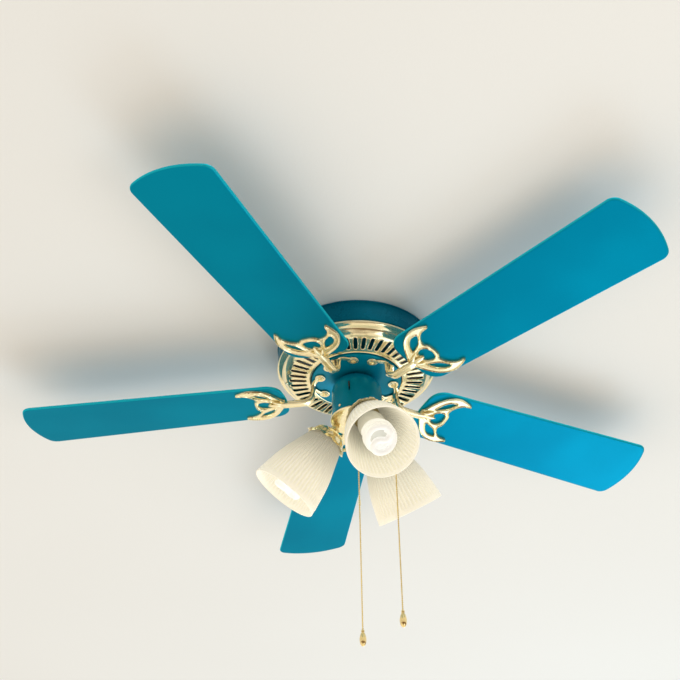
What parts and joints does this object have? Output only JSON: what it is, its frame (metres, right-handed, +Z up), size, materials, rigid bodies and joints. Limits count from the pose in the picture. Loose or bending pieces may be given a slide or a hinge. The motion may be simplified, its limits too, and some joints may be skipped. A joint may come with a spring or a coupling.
{
  "type": "ceiling fan with light kit",
  "caption": "Flush ceiling fan with tapered blades on pierced brass irons, a slotted brass vent ring, a tilting bell-shade light kit and hanging pull chains.",
  "frame": {"origin": "on the rotor's axis, in the flat face that meets the ceiling", "axes": "+Z up out of the fan into the ceiling, along the rotor axis; +X to the right of someone who looks along +Y"},
  "size_m": [1.2579, 1.2655, 0.5863],
  "materials": {
    "teal_enamel": "smooth satin enamel",
    "teal_blade": "satin lacquer over a pressed wood board",
    "polished_brass": "polished and lacquered",
    "chain_brass": "beaded",
    "zinc_steel": "zinc plated",
    "bearing_steel": "ground",
    "lamination_steel": "stacked laminations",
    "enamelled_copper": "enamelled copper wire",
    "black_plastic": "moulded",
    "socket_plastic": "moulded phenolic",
    "white_plastic": "moulded",
    "lamp_tube": "phosphor-coated glass, lit",
    "frosted_glass": "frosted, ribbed"
  },
  "bodies": {
    "fan_body": {"ceiling_plate": "zinc_steel", "canopy": "teal_enamel", "vent_ring": "polished_brass", "motor_shaft": "zinc_steel", "stator_core": "lamination_steel", "stator_winding": "enamelled_copper", "lower_bearing": "bearing_steel", "upper_bearing": "bearing_steel", "switch_housing": "teal_enamel", "fan_switch": "polished_brass", "light_switch": "polished_brass", "capacitor": "black_plastic", "light_fitter": "polished_brass", "lamp_arm_1": "polished_brass", "lamp_arm_2": "polished_brass", "lamp_arm_3": "polished_brass"},
    "rotor": {"rotor_shell": "teal_enamel", "blade_iron_1": "polished_brass", "blade_iron_2": "polished_brass", "blade_iron_3": "polished_brass", "blade_iron_4": "polished_brass", "blade_iron_5": "polished_brass", "blade_1": "teal_blade", "blade_2": "teal_blade", "blade_3": "teal_blade", "blade_4": "teal_blade", "blade_5": "teal_blade", "iron_screw_1a": "polished_brass", "iron_screw_1b": "polished_brass", "iron_screw_2a": "polished_brass", "iron_screw_2b": "polished_brass", "iron_screw_3a": "polished_brass", "iron_screw_3b": "polished_brass", "iron_screw_4a": "polished_brass", "iron_screw_4b": "polished_brass", "iron_screw_5a": "polished_brass", "iron_screw_5b": "polished_brass"},
    "fan_pull": {"fan_chain": "chain_brass", "fan_fob": "polished_brass"},
    "light_pull": {"light_chain": "chain_brass", "light_fob": "polished_brass"},
    "reverse_lever": {"reverse_slider": "black_plastic"},
    "lamp_1": {"knuckle_pin_1": "polished_brass", "lamp_holder_1": "polished_brass", "lamp_socket_1": "socket_plastic", "glass_shade_1": "frosted_glass", "bulb_base_1": "white_plastic", "bulb_coil_1": "lamp_tube"},
    "lamp_2": {"knuckle_pin_2": "polished_brass", "lamp_holder_2": "polished_brass", "lamp_socket_2": "socket_plastic", "glass_shade_2": "frosted_glass", "bulb_base_2": "white_plastic", "bulb_coil_2": "lamp_tube"},
    "lamp_3": {"knuckle_pin_3": "polished_brass", "lamp_holder_3": "polished_brass", "lamp_socket_3": "socket_plastic", "glass_shade_3": "frosted_glass", "bulb_base_3": "white_plastic", "bulb_coil_3": "lamp_tube"}
  },
  "joints": [
    {"name": "rotor_spin", "type": "hinge", "parent": "fan_body", "child": "rotor", "pos_m": [0, 0, -0.078], "axis": [0, 0, 1], "continuous": true},
    {"name": "fan_pull_slide", "type": "slide", "parent": "fan_body", "child": "fan_pull", "axis": [0, 0, -1], "range_m": [0, 0.012], "stiffness_N_per_m": 900},
    {"name": "light_pull_slide", "type": "slide", "parent": "fan_body", "child": "light_pull", "axis": [0, 0, -1], "range_m": [0, 0.012], "stiffness_N_per_m": 900},
    {"name": "reverse_slide", "type": "slide", "parent": "fan_body", "child": "reverse_lever", "axis": [0, 0, -1], "range_m": [0, 0.007]},
    {"name": "lamp_1_tilt", "type": "hinge", "parent": "fan_body", "child": "lamp_1", "pos_m": [0.01309, -0.04126, -0.18155], "axis": [0.9532, 0.3024, 0], "range_deg": [-30, 10]},
    {"name": "lamp_2_tilt", "type": "hinge", "parent": "fan_body", "child": "lamp_2", "pos_m": [0.02919, 0.03196, -0.18155], "axis": [-0.7385, 0.6743, 0], "range_deg": [-30, 10]},
    {"name": "lamp_3_tilt", "type": "hinge", "parent": "fan_body", "child": "lamp_3", "pos_m": [-0.04227, 0.00929, -0.18155], "axis": [-0.2147, -0.9767, 0], "range_deg": [-30, 10]}
  ]
}
